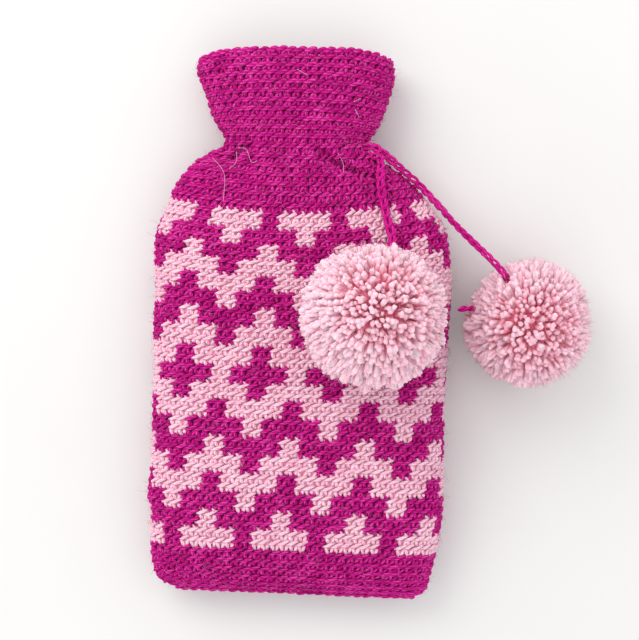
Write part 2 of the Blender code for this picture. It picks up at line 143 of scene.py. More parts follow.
# One line for each cross-section of the cover, counted in crochet rows from the base seam: the y of
# its middle, how far it falls for each mm to the right, how far its sides droop below its middle,
# its left and right edges, its lowest and highest points, and how square it is (2 is an oval).
Section = namedtuple("Section", "row y fall droop left right under over square")
SECTIONS = [
    Section(0.0, -170.4, 0.042, 0.0, -79.0, 72.5, 20.5, 25.5, 3.2),
    Section(1.0, -167.4, 0.042, 0.0, -86.8, 78.4, 17.0, 28.8, 3.2),
    Section(2.0, -163.7, 0.042, 0.0, -91.2, 81.0, 12.4, 32.6, 3.2),
    Section(3.0, -159.2, 0.042, 0.0, -93.4, 82.4, 8.0, 36.0, 3.2),
    Section(4.0, -154.0, 0.043, 0.0, -94.6, 83.6, 4.6, 38.6, 3.2),
    Section(5.0, -148.6, 0.044, 0.0, -95.2, 84.9, 2.0, 40.8, 3.2),
    Section(6.0, -142.7, 0.045, 0.0, -95.4, 86.5, 0.2, 42.2, 3.2),
    Section(7.0, -136.0, 0.045, 0.0, -95.5, 87.9, -1.0, 43.2, 3.2),
    Section(9.5, -121.8, 0.043, 0.0, -95.9, 90.2, -1.5, 45.6, 3.2),
    Section(11.5, -109.7, 0.041, 0.0, -97.0, 91.1, -1.5, 47.2, 3.2),
    Section(13.5, -97.6, 0.038, 0.0, -95.6, 91.4, -1.5, 48.6, 3.2),
    Section(17.5, -75.0, 0.034, -0.5, -94.3, 91.4, -1.5, 50.5, 3.2),
    Section(21.5, -51.4, 0.030, -1.0, -93.6, 91.8, -1.5, 51.6, 3.2),
    Section(25.5, -30.8, 0.025, -2.0, -92.8, 92.8, -1.5, 52.2, 3.2),
    Section(29.5, -6.7, 0.019, -3.5, -93.4, 94.6, -1.5, 52.2, 3.2),
    Section(33.5, 15.7, 0.013, -6.0, -91.8, 96.2, -1.5, 51.7, 3.2),
    Section(37.5, 35.4, 0.006, -8.2, -93.1, 95.4, -1.5, 50.6, 3.2),
    Section(41.5, 55.0, 0.000, -10.2, -89.6, 90.8, -1.2, 48.9, 3.1),
    Section(43.5, 64.8, 0.001, -10.8, -84.6, 83.4, -0.4, 47.5, 3.0),
    Section(45.0, 74.6, 0.008, -9.8, -81.4, 77.4, 0.4, 46.4, 2.9),
    Section(46.0, 81.6, 0.014, -8.2, -78.6, 73.2, 1.0, 45.7, 2.8),
    Section(47.0, 87.8, 0.020, -6.4, -75.4, 69.0, 1.7, 44.9, 2.7),
    Section(48.0, 93.8, 0.028, -4.8, -71.0, 64.2, 2.5, 44.1, 2.6),
    Section(49.0, 99.3, 0.036, -3.8, -66.0, 57.4, 3.3, 43.3, 2.5),
    Section(50.0, 105.1, 0.036, -3.6, -57.0, 48.8, 4.1, 42.6, 2.4),
    Section(51.0, 112.0, 0.024, -2.6, -48.4, 42.8, 4.5, 42.2, 2.4),
    Section(52.0, 118.3, 0.028, -1.2, -48.8, 44.6, 4.3, 42.4, 2.4),
    Section(53.0, 123.7, 0.030, 0.0, -51.6, 47.8, 3.8, 42.9, 2.4),
    Section(55.0, 134.8, 0.032, 1.6, -56.8, 52.6, 2.8, 44.2, 2.4),
    Section(57.0, 146.1, 0.032, 2.6, -59.8, 56.4, 1.9, 45.4, 2.4),
    Section(59.0, 157.2, 0.030, 3.2, -63.6, 59.6, 1.1, 46.2, 2.4),
    Section(60.5, 164.7, 0.029, 3.5, -65.8, 60.6, 0.7, 46.6, 2.4),
    Section(62.0, 171.9, 0.028, 3.6, -64.6, 59.4, 0.4, 46.8, 2.4),
]
SECTION_ROWS = np.array([section.row for section in SECTIONS])
SECTION_VALUES = np.array(SECTIONS).T
TOP_ROW = 62.0
MIDDLE_HEIGHT = 0.47

# Gathers and soft dents: the row and the place round the cover (a fraction of the way round from
# the middle of the front, towards +X) of each one's middle, how far it reaches in rows and in that
# fraction, its depth, and how much its place moves round for each row up.
Fold = namedtuple("Fold", "name row place rows width depth lean")
FOLDS = [
    Fold("pinch left of the neck", 50.1, 0.795, 1.9, 0.040, 5.0, 0.004),
    Fold("soft fold by the pinch", 49.6, 0.880, 2.4, 0.034, 1.8, -0.006),
    Fold("slanting fold under the cord", 49.2, 0.105, 2.9, 0.034, 3.2, -0.030),
    Fold("dent over the eyelet", 52.8, 0.195, 2.0, 0.030, 2.0, 0.0),
    Fold("back gather 1", 51.2, 0.300, 5.0, 0.026, 3.6, 0.002),
    Fold("back gather 2", 51.0, 0.358, 4.2, 0.024, 4.2, 0.002),
    Fold("back gather 3", 51.3, 0.416, 5.4, 0.026, 3.8, 0.001),
    Fold("back gather 4", 50.9, 0.476, 4.6, 0.024, 4.4, 0.0),
    Fold("back gather 5", 51.2, 0.536, 5.2, 0.026, 3.8, -0.001),
    Fold("back gather 6", 51.0, 0.596, 4.4, 0.024, 4.4, -0.002),
    Fold("back gather 7", 51.2, 0.656, 5.0, 0.026, 3.8, -0.002),
    Fold("back gather 8", 51.0, 0.716, 4.0, 0.024, 4.0, -0.002),
    Fold("collar dent on the left", 59.6, 0.815, 1.7, 0.034, 3.0, 0.0),
    Fold("collar dent on the right", 57.8, 0.190, 1.8, 0.032, 2.4, 0.0),
    Fold("hollow on the front's left", 24.0, 0.895, 9.0, 0.075, 1.2, 0.0),
    Fold("hollow on the front's right", 14.0, 0.120, 7.0, 0.060, 1.0, 0.0),
]

# Creases of the soft cloth that are too small for the solid
CREASES = [
    Fold("dark pinch at the neck", 49.9, 0.832, 1.6, 0.024, 7.8, 0.006),
    Fold("crease over the pinch", 50.9, 0.852, 1.1, 0.014, 1.6, 0.010),
    Fold("slanting crease under the cord", 49.0, 0.100, 2.8, 0.018, 3.2, -0.034),
    Fold("crease by the slanting fold", 49.6, 0.062, 1.8, 0.014, 1.2, -0.020),
    Fold("dimple on the collar's left", 59.4, 0.872, 1.0, 0.018, 1.8, 0.0),
    Fold("dimple on the collar's right", 57.4, 0.128, 1.1, 0.018, 1.4, 0.0),
]

# The collar's rim isn't quite straight: how much higher it stands at an x, in millimetres, and the
# rows over which it comes to that
Rise = namedtuple("Rise", "x height")
RIM_RISES = [
    Rise(-64, -1.5),
    Rise(-50, 0.0),
    Rise(12, 0.0),
    Rise(32, 1.7),
    Rise(50, 1.4),
    Rise(62, 0.3),
]
RIM_RISE_ROWS = (54.0, 62.0)

# How many stitches go round at a row, evenly changed between these rows
Shaping = namedtuple("Shaping", "row stitches")
SHAPING = [
    Shaping(0, 50),
    Shaping(1, 54),
    Shaping(2, 59),
    Shaping(3, 63),
    Shaping(4, 66),
    Shaping(6, 72),
    Shaping(45, 72),
    Shaping(51, 48),
    Shaping(62, 48),
]

# The colour pattern: a repeat of eight stitches, in bands of two rows from the bottom up. Each band
# has so many pink stitches in the repeat, round a column of the pattern, and the rest are magenta.
# The shoulders and the collar over it are all magenta.
REPEAT = 8
FIRST_BAND_ROW = 7
ROWS_IN_BAND = 2
SHOULDER_ROW = 45
COLLAR_ROW = 52
Band = namedtuple("Band", "pink column")
BANDS = [
    Band(6, 0),
    Band(2, 0),
    Band(2, 4),
    Band(6, 4),
    Band(6, 0),
    Band(2, 0),
    Band(2, 4),
    Band(6, 4),
    Band(6, 0),
    Band(2, 0),
    Band(6, 0),
    Band(6, 4),
    Band(2, 4),
    Band(2, 0),
    Band(6, 0),
    Band(6, 4),
    Band(2, 4),
    Band(2, 0),
    Band(6, 0),
]
# Where a column of the pattern stands at a row, in stitches from the middle of the front
Drift = namedtuple("Drift", "row stitches")
DRIFT = [
    Drift(7.5, -10.28),
    Drift(15.0, -9.20),
    Drift(19.0, -9.00),
    Drift(23.0, -8.60),
    Drift(27.0, -8.05),
    Drift(31.5, -7.50),
    Drift(35.0, -7.60),
    Drift(40.0, -7.20),
    Drift(43.5, -7.40),
]

# The eyelet, where both ties come out between the stitches
EYELET_ROWS = (49.5, 51.5)
EYELET_ROUND = (0.176, 0.210)

# The cloth is worked out on a grid: the points round each ring, and the step between rings in rows
ROUND = 720
GRID_STEP = 0.25
GRID_ROWS = np.arange(0.0, TOP_ROW + GRID_STEP / 2, GRID_STEP)
# The height of a row that lies past the last one, in millimetres
ROW_HEIGHT = 4.6

# The yarn's radius along a row's ridge, in the posts under it and in the rim's chain, in millimetres
RIDGE_RADIUS = 1.12
POST_RADIUS = 1.38
RIM_RADIUS = 1.52

# The two legs of a stitch's post at their three stops: across in stitches, up in rows and how far
# out of the cloth in millimetres, and how thick they are there
Leg = namedtuple("Leg", "across up lift")
LEGS = [
    Leg((-0.45, -0.29, -0.15), (-0.08, -0.46, -0.86), (-2.2, -1.65, -2.2)),
    Leg((0.15, 0.25, 0.47), (-0.86, -0.50, -0.08), (-2.2, -1.80, -2.2)),
]
LEG_SHAPE = (0.80, 1.0, 0.80)

# The two strands of the rim's chain: how far out of the cloth in millimetres, up in rows, and how
# much of a row each link rises
RimStrand = namedtuple("RimStrand", "lift up slant")
RIM_STRANDS = [RimStrand(-1.0, -0.06, 0.20), RimStrand(-3.1, -0.32, -0.12)]

# Stitches made by hand aren't quite alike: how far each is off across in stitches, up in rows and
# out in millimetres, and how much its size, its yarn and the yarn's skin differ, as a part of them
OFF_ACROSS = 0.045
OFF_UP = 0.035
OFF_OUT = 0.13
OFF_SIZE = 0.07
OFF_YARN = 0.05
YARN_ROUGH = 0.05

# The ground that the stitches stand on has an outer and an inner skin: each one's first row, the
# step between its rings in rows, and how deep it lies under the outer face, in millimetres
INNER_DEPTH = 4.3
Skin = namedtuple("Skin", "first step depth")
SKINS = [Skin(1.0, 0.5, 2.2), Skin(2.0, 1.0, INNER_DEPTH)]
GROUND_LAST_ROW = 61.0
GROUND_COLUMNS = 120
# The ground has a row's colour from this part of a row under the row's ridge
GROUND_UNDER = 0.35
# No yarn goes lower than the rest height, where the cover lies on the floor, and the ground is there
# as high as it is deep, less its sink, in millimetres
REST_HEIGHT = 0.25
GROUND_SINK = 0.5

# A link of the cord's chain: how far along it (in links), to the side and up each stop of its loop
# stands, and the bar on the chain's back, in millimetres
LINK = 6.3
LINK_LOOP = [
    (-0.14, 0.20, -0.70),
    (0.10, 0.95, -0.35),
    (0.40, 1.55, 0.05),
    (0.74, 1.75, 0.35),
    (1.02, 1.30, 0.62),
    (1.20, 0.45, 0.80),
]
LINK_BAR = [(-0.20, -0.55, -1.05), (0.15, 0.10, -1.65), (0.50, 0.35, -1.75), (0.85, -0.55, -1.05)]
LINK_YARN = 1.02
# How thin a link's yarn is at its ends, how far along it is off its place in millimetres, and how
# much its width differs
LINK_END = 0.75
LINK_OFF = 0.2
LINK_OFF_WIDTH = 0.08

# A pompom's strand, from its root to its brushed-out blunt tip: its radius in millimetres, and how
# far along its stops are and how thick it is there, as parts of its length and its radius
STRAND_RADIUS = 1.42
STRAND_STOPS = np.array([0.0, 0.45, 0.80, 0.95, 1.0])
STRAND_SHAPE = np.array([0.55, 0.80, 1.0, 1.06, 0.58])
STRAND_ROUGH = 0.20
# The wound core and the strands' roots in it, as parts of the ball's reach, and how far the roots
# lie towards the crown
CORE_PART = 0.85
ROOT_PART = 0.8 * CORE_PART
PARTED = 0.85
# The core's lumps of wound yarn, and the most that it is hollowed between them
CORE_LUMPS = 500
CORE_HOLLOW = 0.08
# How many swells a ball has, the nearness to one where it is even, as a cosine, and how much of its
# reach it rises from there
SWELLS = 14
SWELL_EVEN = 0.93
SWELL_RISE = 0.10
# How far strands lean to the middle of their tuft, least and most, and stray from there, how much
# tufts differ in reach, and how much shorter than its tuft a strand is at most
TUFT_PULL = (0.14, 0.60)
STRAND_STRAY = 0.014
TUFT_OFF = 0.024
STRAND_SHORTER = 0.09
# Strands this close to a cord's way, as a cosine, are pushed aside, by so much of the radius at most
CORD_GAP = 0.985
CORD_PUSH = 0.10

# Loose hairs are drawn 0.18 mm across, several times the real ones, so that they show at this
# distance, and the long ones and a pompom's are thicker still, in millimetres
FIBRE_RADIUS = 0.09
STRAY_RADIUS = 0.17
LOOSE_END_RADIUS = 1.7 * FIBRE_RADIUS
COVER_HAIRS = 3600
POMPOM_HAIRS = 4200

# The studio, in metres and watts: a floor, a soft daylight window up on the left, a bright room
FLOOR_SIZE = 6.0
WINDOW_PLACE = (-0.75, 0.85, 1.05)
WINDOW_SIZE = (1.1, 0.9)
WINDOW_POWER = 9.6
WINDOW_COLOUR = (1.0, 0.985, 0.965)
ROOM_STRENGTH = 1.20


def linear(hex_colour):
    """An sRGB hex colour as linear RGBA."""
    values = [int(hex_colour[i : i + 2], 16) / 255 for i in (1, 3, 5)]
    return (*[v / 12.92 if v <= 0.04045 else ((v + 0.055) / 1.055) ** 2.4 for v in values], 1.0)


# Geometry helpers


def unit(vectors):
    return vectors / np.maximum(np.linalg.norm(vectors, axis=-1, keepdims=True), 1e-12)


def distance_along(points):
    steps = np.linalg.norm(np.diff(points, axis=0), axis=1)
    return np.concatenate([[0.0], np.cumsum(steps)])


def spaced(points, count):
    """So many points, evenly spaced along a line of points, and how far along each of them is."""
    along = distance_along(points)
    even = np.linspace(0.0, along[-1], count)
    return np.stack([np.interp(even, along, values) for values in points.T], axis=1), even


def from_table(place, table):
    """A table's second column at a place in its first one, evenly changed between its rows."""
    return np.interp(place, *zip(*table))


def smooth_between(rows, values, row):
    """The value at a row, on a smooth curve through the table's values."""
    slopes = np.gradient(values, rows)
    cell = int(np.clip(np.searchsorted(rows, row, side="right") - 1, 0, len(rows) - 2))
    span = rows[cell + 1] - rows[cell]
    t = (row - rows[cell]) / span
    start = (1 + 2 * t) * (1 - t) ** 2 * values[cell] + t * (1 - t) ** 2 * span * slopes[cell]
    end = t * t * (3 - 2 * t) * values[cell + 1] + t * t * (t - 1) * span * slopes[cell + 1]
    return start + end


def smooth_route(points, step):
    """Points about a step apart on a smooth curve through the route's points."""
    route = np.array(points, dtype=float)
    guide = np.vstack([2 * route[0] - route[1], route, 2 * route[-1] - route[-2]])
    fine = []
    for i in range(1, len(guide) - 2):
        p0, p1, p2, p3 = guide[i - 1 : i + 3]
        for t in np.linspace(0.0, 1.0, 12, endpoint=False):
            bend = 2 * p0 - 5 * p1 + 4 * p2 - p3
            twist = 3 * p1 - p0 - 3 * p2 + p3
            fine.append(p1 + 0.5 * (t * (p2 - p0) + t * t * bend + t**3 * twist))
    fine = np.array(fine + [route[-1]])
    count = max(2, round(distance_along(fine)[-1] / step) + 1)
    return spaced(fine, count)[0]


def bump(offset, reach):
    """1 in the middle, falling smoothly to 0 at the reach."""
    return np.cos(np.pi / 2 * np.clip(np.abs(offset) / reach, 0.0, 1.0)) ** 2


# The cover's outer face, as in the solids


def section_outline(row, inset=0.0):
    """The smooth outline of a section, an inset under its outer face, before it is folded: places
    round it from the middle of the front over the right, points (x, z) and outward ways."""
    cut = section_at(row)
    turn = np.pi / 2 - 2 * np.pi * np.arange(ROUND + 1) / ROUND
    across = np.sign(np.cos(turn)) * np.abs(np.cos(turn)) ** (2 / cut.square)
    up = np.sign(np.sin(turn)) * np.abs(np.sin(turn)) ** (2 / cut.square)
    over = cut.over - inset
    under = cut.under + inset
    middle = under + MIDDLE_HEIGHT * (over - under)
    x = np.where(across > 0, across * (cut.right - inset), -across * (cut.left + inset))
    z = middle + np.where(up > 0, up * (over - middle), up * (middle - under))
    flat, even = spaced(np.stack([x, z], axis=1), ROUND + 1)
    ways = np.roll(flat[:-1], -1, axis=0) - np.roll(flat[:-1], 1, axis=0)
    outward = unit(np.stack([-ways[:, 1], ways[:, 0]], axis=1))
    return even / even[-1], flat, np.vstack([outward, outward[:1]])


def section_at(row):
    return Section(*[smooth_between(SECTION_ROWS, values, row) for values in SECTION_VALUES])


def row_y(row, x):
    cut = section_at(row)
    half = np.where(x > 0, cut.right, -cut.left)
    rise = from_table(x, RIM_RISES) * np.interp(row, RIM_RISE_ROWS, (0.0, 1.0)) ** 2
    return cut.y - cut.fall * x - cut.droop * (x / half) ** 2 + rise


def section_ring(row):
    """Points round the cover's outer face at a row, in and out of its folds."""
    places, flat, outward = section_outline(row)
    depths = np.zeros_like(places)
    for fold in FOLDS + CREASES:
        middle = fold.place + fold.lean * (row - fold.row)
        offset = (places - middle + 0.5) % 1.0 - 0.5
        depths += fold.depth * bump(row - fold.row, fold.rows) * bump(offset, fold.width)
    flat = flat - outward * depths[:, None]
    return np.stack([flat[:, 0], row_y(row, flat[:, 0]), np.maximum(flat[:, 1], 0.0)], axis=1)


def cloth_grid():
    """Rings with their points spaced evenly along the cloth, and their outward ways."""
    rings = np.array([spaced(section_ring(row), ROUND + 1)[0][:-1] for row in GRID_ROWS])
    across = np.roll(rings, -2, axis=1) - np.roll(rings, 2, axis=1)
    return rings, unit(np.cross(across, np.gradient(rings, axis=0)))


GRID_POINTS, GRID_OUTWARD = cloth_grid()


def on_cloth(rows, rounds):
    """The cloth's points and outward ways at rows, and at fractions of the way round."""
    down = np.clip(rows, 0.0, TOP_ROW) / GRID_STEP
    row_cell = np.minimum(np.floor(down).astype(int), len(GRID_ROWS) - 2)
    part_up = (down - row_cell)[..., None]
    across = (rounds % 1.0) * ROUND
    left = np.floor(across).astype(int) % ROUND
    right = (left + 1) % ROUND
    part_on = (across - np.floor(across))[..., None]

    def between(grid):
        low = grid[row_cell, left] * (1 - part_on) + grid[row_cell, right] * part_on
        high = grid[row_cell + 1, left] * (1 - part_on) + grid[row_cell + 1, right] * part_on
        return low * (1 - part_up) + high * part_up

    return between(GRID_POINTS), unit(between(GRID_OUTWARD))


# Tubes of yarn: many at once, as one mesh

# Rough is how uneven the yarn's skin is, as a part of its radius
Tubes = namedtuple("Tubes", "points outward radii sides rough", defaults=(0.0,))


def tube_mesh(tubes):
    """Corners, faces and face UVs: u is the turn round the yarn, v the millimetres along it."""
    points, outward, radii, sides, rough = tubes
    count, stops = points.shape[:2]
    forward = unit(np.gradient(points, axis=1))
    side = unit(np.cross(forward, outward))
    up = np.cross(side, forward)
    angle = 2 * np.pi * np.arange(sides) / sides
    ring = np.cos(angle)[:, None] * side[:, :, None] + np.sin(angle)[:, None] * up[:, :, None]
    uneven = 1.0 + rough * np.random.default_rng(count).normal(0.0, 1.0, (count, stops, sides, 1))
    corners = points[:, :, None] + radii[:, :, None, None] * ring * uneven
    corners[..., 2] = np.maximum(corners[..., 2], REST_HEIGHT)
    numbers = np.arange(count * stops * sides).reshape(count, stops, sides)
    after = np.roll(numbers, -1, axis=2)
    faces = np.stack([numbers[:, :-1], numbers[:, 1:], after[:, 1:], after[:, :-1]], axis=-1)
    steps = np.linalg.norm(np.diff(points, axis=1), axis=2)
    along = np.concatenate([np.zeros((count, 1)), np.cumsum(steps, axis=1)], axis=1)
    turn = np.broadcast_to(np.arange(sides) / sides, (count, stops, sides))
    near = np.stack([turn, np.broadcast_to(along[:, :, None], turn.shape)], axis=-1)
    far = near + (1 / sides, 0.0)
    uvs = np.stack([near[:, :-1], near[:, 1:], far[:, 1:], far[:, :-1]], axis=-2)
    caps = np.concatenate([numbers[:, 0], numbers[:, -1, ::-1]])
    cap_uvs = np.concatenate([near[:, 0], near[:, -1, ::-1]])
    return (
        corners.reshape(-1, 3),
        faces.reshape(-1, 4).tolist() + caps.tolist(),
        np.concatenate([uvs.reshape(-1, 2), cap_uvs.reshape(-1, 2)]),
    )


def yarn_piece(name, runs, material, slot):
    """One piece from several runs of tubes."""
    corners = []
    faces = []
    uvs = []
    first = 0
    for tubes in runs:
        points, tube_faces, tube_uvs = tube_mesh(tubes)
        corners.append(points)
        faces += [[number + first for number in face] for face in tube_faces]
        uvs.append(tube_uvs)
        first += len(points)
    piece = mesh_piece(name, np.concatenate(corners), faces, [material], slot)
    layer = piece.data.uv_layers.new(name="Yarn")
    layer.uv.foreach_set("vector", np.concatenate(uvs).astype(np.float32).ravel())
    return piece


def mesh_piece(name, points, faces, materials, slot):
    mesh = bpy.data.meshes.new(name)
    mesh.from_pydata(np.asarray(points) * MM, [], faces)
    for material in materials:
        mesh.materials.append(material)
    mesh.shade_smooth()
    mesh.update()
    piece = bpy.data.objects.new(name, mesh)
    bpy.context.scene.collection.objects.link(piece)
    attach(piece, "root")
    return piece


# Materials


def add(tree, kind, inputs=None, **settings):
    """Adds a node, sets its properties, and sets or links its inputs."""
    node = tree.nodes.new("ShaderNode" + kind)
    for name, value in settings.items():
        setattr(node, name, value)
    for key, value in (inputs or {}).items():
        if isinstance(value, bpy.types.NodeSocket):
            tree.links.new(value, node.inputs[key])
        else:
            node.inputs[key].default_value = value
    return node


def new_material(name):
    material = bpy.data.materials.new(name)
    material.use_nodes = True
    tree = material.node_tree
    tree.nodes.clear()
    return material, tree


# The places of a Mix node's sockets that hold colours
MIX_A, MIX_B, MIX_RESULT = 6, 7, 2
# How far apart in the noise the hairs of two lengths of yarn are at most, so that they differ
HAIRS_APART = 60.0


def lying_hairs(tree, turn, along, island, to_the_round, to_the_mm, detail):
    """Hairs that lie along the yarn, as a value: so many to its round, drawn long, and other ones
    on each length of yarn."""
    parts = [
        add(tree, "Math", {0: value, 1: scale}, operation="MULTIPLY").outputs[0]
        for value, scale in ((turn, to_the_round), (along, to_the_mm), (island, HAIRS_APART))
    ]
    fibre = add(tree, "CombineXYZ", dict(enumerate(parts)))
    noise = {"Vector": fibre.outputs[0], "Scale": 1.0, "Detail": detail}
    return add(tree, "TexNoise", noise).outputs[0]


def weighed(tree, tone, parts):
    """A tone with more values added to it, each by its weight."""
    for value, weight in parts:
        inputs = {0: value, 1: weight, 2: tone}
        tone = add(tree, "Math", inputs, operation="MULTIPLY_ADD").outputs[0]
    return tone


def coloured(tree, tone, colours, steps):
    """Colours from deep to pale by the tone, each blended into the next over one of the steps."""
    colour = linear(colours[0])
    for paler, (start, end) in zip(colours[1:], steps):
        part = add(tree, "MapRange", {0: tone, 1: start, 2: end, 3: 0.0, 4: 1.0})
        inputs = {0: part.outputs[0], MIX_A: colour, MIX_B: linear(paler)}
        colour = add(tree, "Mix", inputs, data_type="RGBA").outputs[MIX_RESULT]
    return colour


def finish_wool(tree, colour, height, sheen, tint, bump_mm, glow=0.0):
    """Wool: rough all over, with a soft sheen from the loose hairs on it. Glow is how much light goes
    through its hairs and comes out about a millimetre on."""
    normal = add(tree, "Bump", {"Strength": 1.0, "Distance": bump_mm * MM, "Height": height})
    wool = add(
        tree,
        "BsdfPrincipled",
        {
            "Base Color": colour,
            "Roughness": 0.92,
            "Specular IOR Level": 0.18,
            "Sheen Weight": sheen,
            "Sheen Roughness": 0.45,
            "Sheen Tint": linear(tint),
            "Subsurface Weight": glow,
            "Subsurface Radius": (1.0, 0.45, 0.45),
            "Subsurface Scale": 1.2 * MM,
            "Normal": normal.outputs[0],
        },
    )
    add(tree, "OutputMaterial", {"Surface": wool.outputs[0]})


# Plied wool: its plies, the millimetres to one turn of them, and its hairs, drawn about 0.7 mm
# across, coarser than the real 0.03 mm so that they show
PLIES = 3
PLY_LAY = 13.0
PLY_HAIRS = 10.0
PLY_HAIRS_TO_MM = 0.45
# Patches of uneven dye to the metre: about 8 mm each
DYE_PATCHES = 130.0
# How much plies, hairs, dye and the length of yarn count in its tone, and the tones over which it
# goes from deep to middle and from middle to lit. Plies and hairs count as the bump does, so the
# wool is painted paler on their crests and darker in their grooves, as highlight and shade; dye and
# the length of yarn are its own uneven colour.
PLY_PAINTED_SHADING = 0.24
HAIR_TONE = 1.15
DYE_TONE = 0.7
LENGTH_TONE = 0.34
PLY_STEPS = ((0.52, 1.16), (1.16, 1.86))


def plied_wool(name, deep, middle, lit, sheen, tint):
    """A soft plied wool: its plies wind round the yarn, which the eye sees as fine slanting ridges.
    Loose hairs give it a dull, slightly pale skin. Its colour is painted paler on the crests of
    its plies and hairs and darker in their grooves, as highlight and shade."""
    material, tree = new_material(name)
    place = add(tree, "TexCoord")
    yarn = add(tree, "SeparateXYZ", {0: place.outputs["UV"]})
    wound = add(tree, "Math", {0: yarn.outputs[1], 1: 1.0 / PLY_LAY}, operation="MULTIPLY")
    turn = add(tree, "Math", {0: yarn.outputs[0], 1: wound.outputs[0]}, operation="ADD")
    phase = add(tree, "Math", {0: turn.outputs[0], 1: 2 * math.pi * PLIES}, operation="MULTIPLY")
    wave = add(tree, "Math", {0: phase.outputs[0]}, operation="SINE")
    island = add(tree, "NewGeometry").outputs["Random Per Island"]
    hairs = lying_hairs(
        tree, turn.outputs[0], yarn.outputs[1], island, PLY_HAIRS, PLY_HAIRS_TO_MM, 3.0
    )
    dyed = {"Vector": place.outputs["Object"], "Scale": DYE_PATCHES, "Detail": 2.0}
    dye = add(tree, "TexNoise", dyed)
    # Painted shading: the plies' crests paler, their grooves darker
    ply_painted_shading = add(tree, "Math", {0: wave.outputs[0], 1: PLY_PAINTED_SHADING}, operation="MULTIPLY")
    parts = ((hairs, HAIR_TONE), (dye.outputs[0], DYE_TONE), (island, LENGTH_TONE))
    tone = weighed(tree, ply_painted_shading.outputs[0], parts)
    colour = coloured(tree, tone, (deep, middle, lit), PLY_STEPS)
    height = weighed(tree, wave.outputs[0], [(hairs, 1.2)])
    finish_wool(tree, colour, height, sheen, tint, bump_mm=0.22)
    return material


# A cut strand's hairs, drawn about 1 mm across so that they show
CUT_HAIRS = 9.0
CUT_HAIRS_TO_MM = 0.35
# How far out on a strand its root's colour ends, how much hairs and the strand count in its tone,
# and the tones over which it goes from root to middle and from middle to tip. Hairs count as the
# bump does: painted paler where they stand up and darker between them, as highlight and shade.
ROOT_SHADE = 0.35
CUT_HAIR_TONE = 0.6
STRAND_TONE = 0.3
CUT_STEPS = ((0.3, 1.05), (1.0, 1.6))


def cut_wool(name, root, middle, tip, length):
    """Cut yarn ends: the wool is pale at its cut, brushed-out tips, and looks a deeper rose down
    between the strands, where light reaches it only through other wool."""
    material, tree = new_material(name)
    place = add(tree, "TexCoord")
    yarn = add(tree, "SeparateXYZ", {0: place.outputs["UV"]})
    turn, on = yarn.outputs[:2]
    island = add(tree, "NewGeometry").outputs["Random Per Island"]
    hairs = lying_hairs(tree, turn, on, island, CUT_HAIRS, CUT_HAIRS_TO_MM, 2.0)
    out = add(tree, "MapRange", {0: on, 1: ROOT_SHADE * length, 2: length, 3: 0.0, 4: 1.0})
    # The hairs add painted highlight and shade, following the bump
    tone = weighed(tree, out.outputs[0], ((hairs, CUT_HAIR_TONE), (island, STRAND_TONE)))
    colour = coloured(tree, tone, (root, middle, tip), CUT_STEPS)
    finish_wool(tree, colour, hairs, 0.35, "#FFE9F0", bump_mm=0.45, glow=0.5)
    return material


# Matted hairs to the metre, drawn about 1 mm across, and how dark the wool is painted between
# them, as their shade
MATTED_HAIRS = 900.0
MATTED_SHADE = 0.6


def plain_wool(name, colour, sheen=0.3, tint="#E8B0D0"):
    """Wool that shows only in the gaps between stitches and as single hairs, dull and uneven. It is
    painted darker between its matted hairs, as their shade.
    """
    material, tree = new_material(name)
    place = add(tree, "TexCoord")
    matted = {"Vector": place.outputs["Object"], "Scale": MATTED_HAIRS, "Detail": 3.0}
    hairs = add(tree, "TexNoise", matted).outputs[0]
    # Painted shade between the matted hairs, where their bump sinks
    dark = tuple(value * MATTED_SHADE for value in linear(colour)[:3]) + (1.0,)
    inputs = {0: hairs, MIX_A: dark, MIX_B: linear(colour)}
    shade = add(tree, "Mix", inputs, data_type="RGBA").outputs[MIX_RESULT]
    finish_wool(tree, shade, hairs, sheen, tint, bump_mm=0.4)
    return material


def painted_floor():
    """A matt painted studio floor, pale and almost even."""
    material, tree = new_material("pale_matt_floor")
    place = add(tree, "TexCoord")
    grain = add(tree, "TexNoise", {"Vector": place.outputs["Object"], "Scale": 8.0})
    inputs = {0: grain.outputs[0], MIX_A: linear("#DEDCD8"), MIX_B: linear("#E4E2DE")}
    colour = add(tree, "Mix", inputs, data_type="RGBA").outputs[MIX_RESULT]
    paint = add(tree, "BsdfPrincipled", {"Base Color": colour, "Roughness": 0.8})
    add(tree, "OutputMaterial", {"Surface": paint.outputs[0]})
    return material


# The crochet


def stitches_round(row):
    return int(round(from_table(row, SHAPING)))


def is_pink(row, position):
    """Whether stitches of a row, at positions counted in stitches from a column, are pink."""
    band = (row - FIRST_BAND_ROW) // ROWS_IN_BAND
    if row < FIRST_BAND_ROW or band >= len(BANDS):
        return np.zeros(len(position), dtype=bool)
    offset = (position - BANDS[band].column + REPEAT / 2) % REPEAT - REPEAT / 2
    return np.abs(offset) < BANDS[band].pink / 2


Stitches = namedtuple("Stitches", "row count round pink pink_above")


def stitches_in(rows):
    """Every stitch of the rows: how many go round there, its place round, and its colours."""
    columns = []
    for row in rows:
        count = stitches_round(row)
        position = np.arange(count) + 0.5
        where = ((position + from_table(row, DRIFT)) / count) % 1.0
        columns.append(
            [
                np.full(count, float(row)),
                np.full(count, float(count)),
                where,
                is_pink(row, position),
                is_pink(row + 1, position),
            ]
        )
    stitches = Stitches(*[np.concatenate(column) for column in zip(*columns)])
    in_rows = (stitches.row > EYELET_ROWS[0]) & (stitches.row < EYELET_ROWS[1])
    in_round = (stitches.round > EYELET_ROUND[0]) & (stitches.round < EYELET_ROUND[1])
    return chosen(stitches, ~(in_rows & in_round))


def chosen(stitches, keep):
    return Stitches(*[column[keep] for column in stitches])


